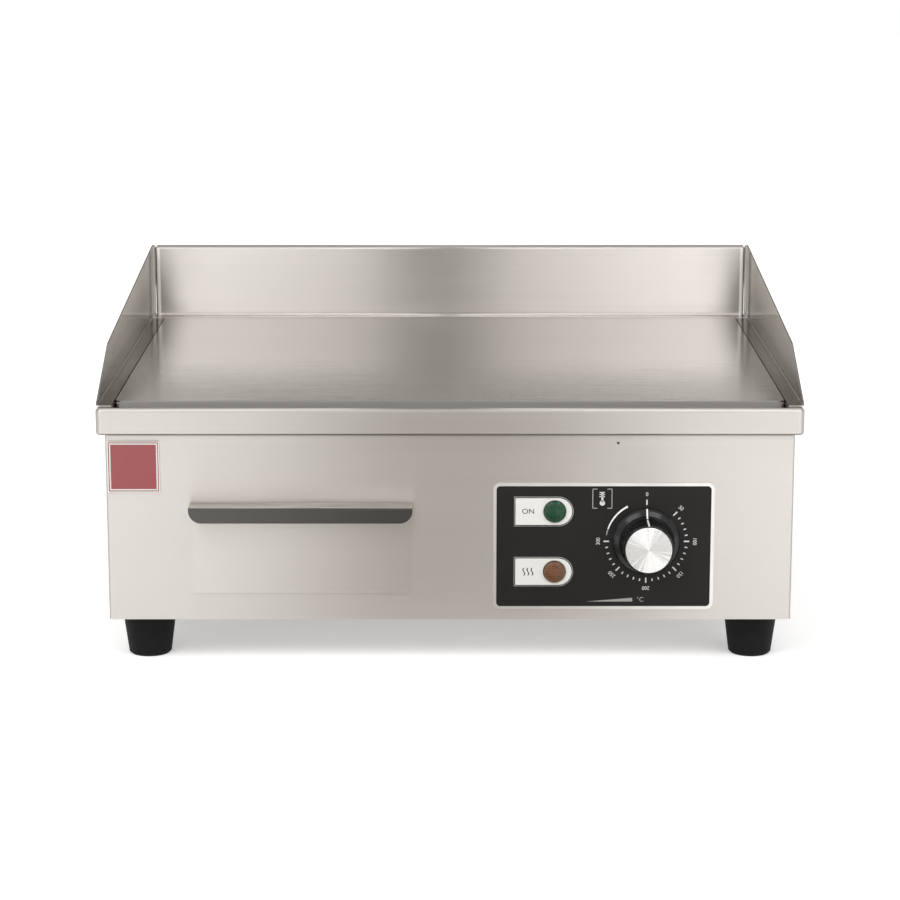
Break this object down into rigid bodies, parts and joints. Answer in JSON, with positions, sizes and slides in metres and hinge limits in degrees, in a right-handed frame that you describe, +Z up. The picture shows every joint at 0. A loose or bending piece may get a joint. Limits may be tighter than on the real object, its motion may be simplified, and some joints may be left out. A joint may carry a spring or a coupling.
{
  "type": "electric griddle",
  "caption": "Countertop electric griddle: steel plate with splash guards and a grease gutter, on a box body with a grease drawer, a thermostat knob, two indicator lamps and rubber feet.",
  "frame": {"origin": "middle of the bounding box in X and Y, on the plane that the feet stand on", "axes": "+X to the right as seen from the front and along the longest side, +Y towards the back splash, +Z up"},
  "size_m": [0.55, 0.4804, 0.2731],
  "materials": {
    "plate_steel": "ground and lightly polished carbon steel, semi-mirror with a fine lengthwise grain",
    "brushed_deck": "brushed stainless, fine lengthwise grain",
    "brushed_body": "brushed stainless, fine lengthwise grain",
    "plain_stainless": "mill finish stainless",
    "foot_rubber": "matt moulded rubber",
    "zinc_hardware": "bright zinc plate",
    "element_sheath": "annealed dark steel sheath",
    "ceramic_white": "glazed ceramic",
    "mineral_wool": "pressed mineral fibre board",
    "dark_moulding": "moulded phenolic",
    "copper": "drawn copper",
    "panel_black": "satin black printed plate",
    "trim_metal": "satin aluminium",
    "tag_white": "pale satin metal label",
    "lens_green": "tinted translucent moulding",
    "lens_amber": "tinted translucent moulding",
    "knob_black": "gloss black moulding",
    "knob_cap_metal": "spun aluminium with turning marks",
    "badge_red": "red enamel, bare",
    "gland_nylon": "moulded nylon",
    "brass_hardware": "plain brass"
  },
  "bodies": {
    "housing": {"griddle_plate": "plate_steel", "front_rail": "brushed_deck", "left_rail": "brushed_deck", "right_rail": "brushed_deck", "rear_rail": "brushed_deck", "gutter_floor": "brushed_deck", "front_seat": "brushed_deck", "back_splash": "brushed_deck", "left_guard": "brushed_deck", "right_guard": "brushed_deck", "drain_spout": "plain_stainless", "body_shell": "brushed_body", "rear_panel": "brushed_body", "base_tray": "plain_stainless", "foot_front_left": "foot_rubber", "foot_front_right": "foot_rubber", "foot_rear_left": "foot_rubber", "foot_rear_right": "foot_rubber", "foot_bolts": "zinc_hardware", "foot_nuts": "zinc_hardware", "heating_elements": "element_sheath", "element_terminals": "ceramic_white", "clamp_bars": "zinc_hardware", "clamp_studs": "zinc_hardware", "clamp_nuts": "zinc_hardware", "insulation": "mineral_wool", "heat_shield": "plain_stainless", "thermostat_body": "dark_moulding", "thermostat_bulb": "copper", "capillary_tube": "copper", "bulb_clips": "plain_stainless", "terminal_block": "ceramic_white", "control_panel": "panel_black", "panel_trim": "trim_metal", "power_tag": "tag_white", "heat_tag": "tag_white", "power_lamp_body": "dark_moulding", "heat_lamp_body": "dark_moulding", "power_lens": "lens_green", "heat_lens": "lens_amber", "lamp_clips": "plain_stainless", "drawer_runner_left": "plain_stainless", "drawer_runner_right": "plain_stainless", "badge_plate": "badge_red", "cable_gland": "gland_nylon", "gland_nut": "gland_nylon", "bonding_stud": "brass_hardware", "bonding_nuts": "brass_hardware"},
    "knob": {"knob_body": "knob_black", "knob_cap": "knob_cap_metal", "thermostat_shaft": "zinc_hardware"},
    "drawer": {"drawer_box": "plain_stainless", "drawer_front": "brushed_body"}
  },
  "joints": [
    {"name": "knob_turn", "type": "hinge", "parent": "housing", "child": "knob", "pos_m": [0.154, -0.2252, 0.1007], "axis": [0, 1, 0], "range_deg": [0, 270]},
    {"name": "drawer_slide", "type": "slide", "parent": "housing", "child": "drawer", "axis": [0, -1, 0], "range_m": [0, 0.2]}
  ]
}
